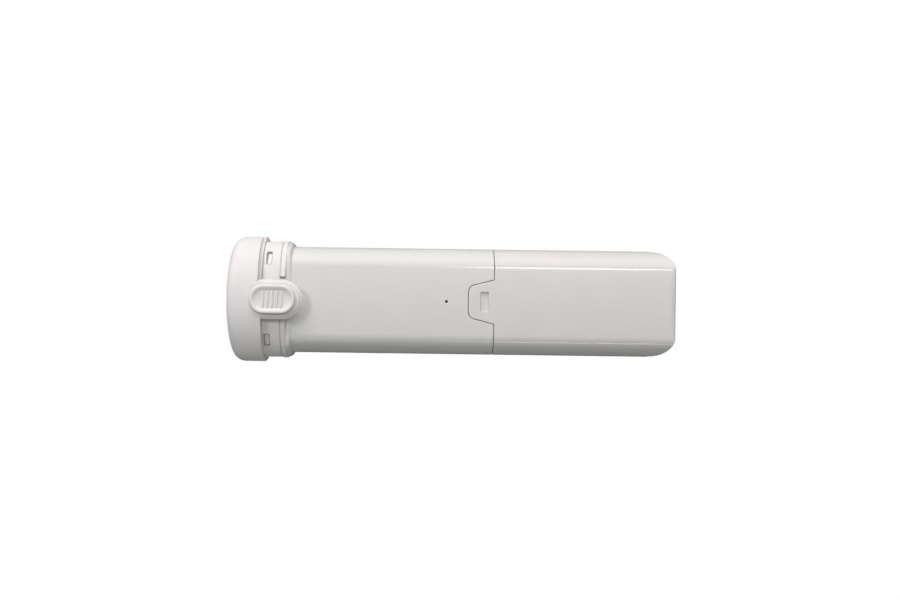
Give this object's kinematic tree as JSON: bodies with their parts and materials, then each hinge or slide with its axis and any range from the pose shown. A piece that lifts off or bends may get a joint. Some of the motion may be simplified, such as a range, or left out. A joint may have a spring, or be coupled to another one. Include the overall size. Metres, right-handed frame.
{
  "type": "led light tube",
  "caption": "Flattened white light tube with a turning end cap, a sliding thumb lock, a back light window and a pull-off battery cover.",
  "frame": {"origin": "bottom centre of the bounding box: the tube rests on its flat back on z = 0", "axes": "+X along the tube from the end cap to the battery cover, +Z out of the front face with the thumb lock, +Y across"},
  "size_m": [0.2068, 0.059, 0.0444],
  "materials": {
    "gloss_white": "glossy moulded white plastic",
    "satin_white": "fine-grained satin white plastic",
    "opal_lens": "opal diffusing plastic",
    "black_plastic": "plain black moulded plastic",
    "steel": "bright nickel-plated steel",
    "aluminium": "plain sheet aluminium",
    "rubber": "black seal rubber",
    "green_board": "green solder mask",
    "white_board": "white solder mask",
    "led_phosphor": "yellow phosphor in a white package",
    "cell_wrap": "blue shrink wrap",
    "red_wire": "red wire insulation",
    "black_wire": "black wire insulation"
  },
  "bodies": {
    "tube": {"tube_housing": "gloss_white", "collar": "satin_white", "diffuser_lens": "opal_lens", "led_board": "white_board", "led_1": "led_phosphor", "led_2": "led_phosphor", "led_3": "led_phosphor", "led_4": "led_phosphor", "led_5": "led_phosphor", "led_6": "led_phosphor", "led_7": "led_phosphor", "led_8": "led_phosphor", "led_board_screw_1": "steel", "led_board_screw_2": "steel", "chassis": "aluminium", "chassis_screw_1": "steel", "chassis_screw_2": "steel", "driver_board": "green_board", "board_screw_1": "steel", "board_screw_2": "steel", "board_screw_3": "steel", "board_screw_4": "steel", "driver_coil": "black_plastic", "capacitor_1": "aluminium", "capacitor_2": "aluminium", "driver_chip": "black_plastic", "hall_sensor": "black_plastic", "reset_switch": "steel", "joint_sleeve": "satin_white", "cover_seal": "rubber", "battery_tray": "black_plastic", "tray_screw_1": "steel", "tray_screw_2": "steel", "cell_1": "cell_wrap", "cell_2": "cell_wrap", "negative_plate": "steel", "positive_plate": "steel", "negative_spring": "steel", "bridge_plate": "steel", "bridge_spring": "steel", "battery_lead_black": "black_wire", "battery_lead_red": "red_wire", "led_lead_black": "black_wire", "led_lead_red": "red_wire", "shaft_seal": "rubber", "spring_washer": "steel"},
    "end_cap": {"end_cap": "satin_white", "cap_rotor": "black_plastic", "rotor_magnet": "steel", "rotor_screw": "steel"},
    "latch": {"latch_pad": "satin_white", "latch_bolt": "black_plastic", "latch_screw": "steel"},
    "battery_cover": {"battery_cover": "gloss_white"},
    "reset_plunger": {"reset_plunger": "black_plastic"}
  },
  "joints": [
    {"name": "cap_turn", "type": "hinge", "parent": "tube", "child": "end_cap", "pos_m": [-0.08775, 0, 0.0177], "axis": [1, 0, 0], "range_deg": [-12, 0]},
    {"name": "latch_slide", "type": "slide", "parent": "end_cap", "child": "latch", "axis": [1, 0, 0], "range_m": [0, 0.003]},
    {"name": "cover_pull", "type": "slide", "parent": "tube", "child": "battery_cover", "axis": [1, 0, 0], "range_m": [0, 0.095]},
    {"name": "reset_press", "type": "slide", "parent": "tube", "child": "reset_plunger", "axis": [0, 0, -1], "range_m": [0, 0.0003], "stiffness_N_per_m": 500}
  ]
}
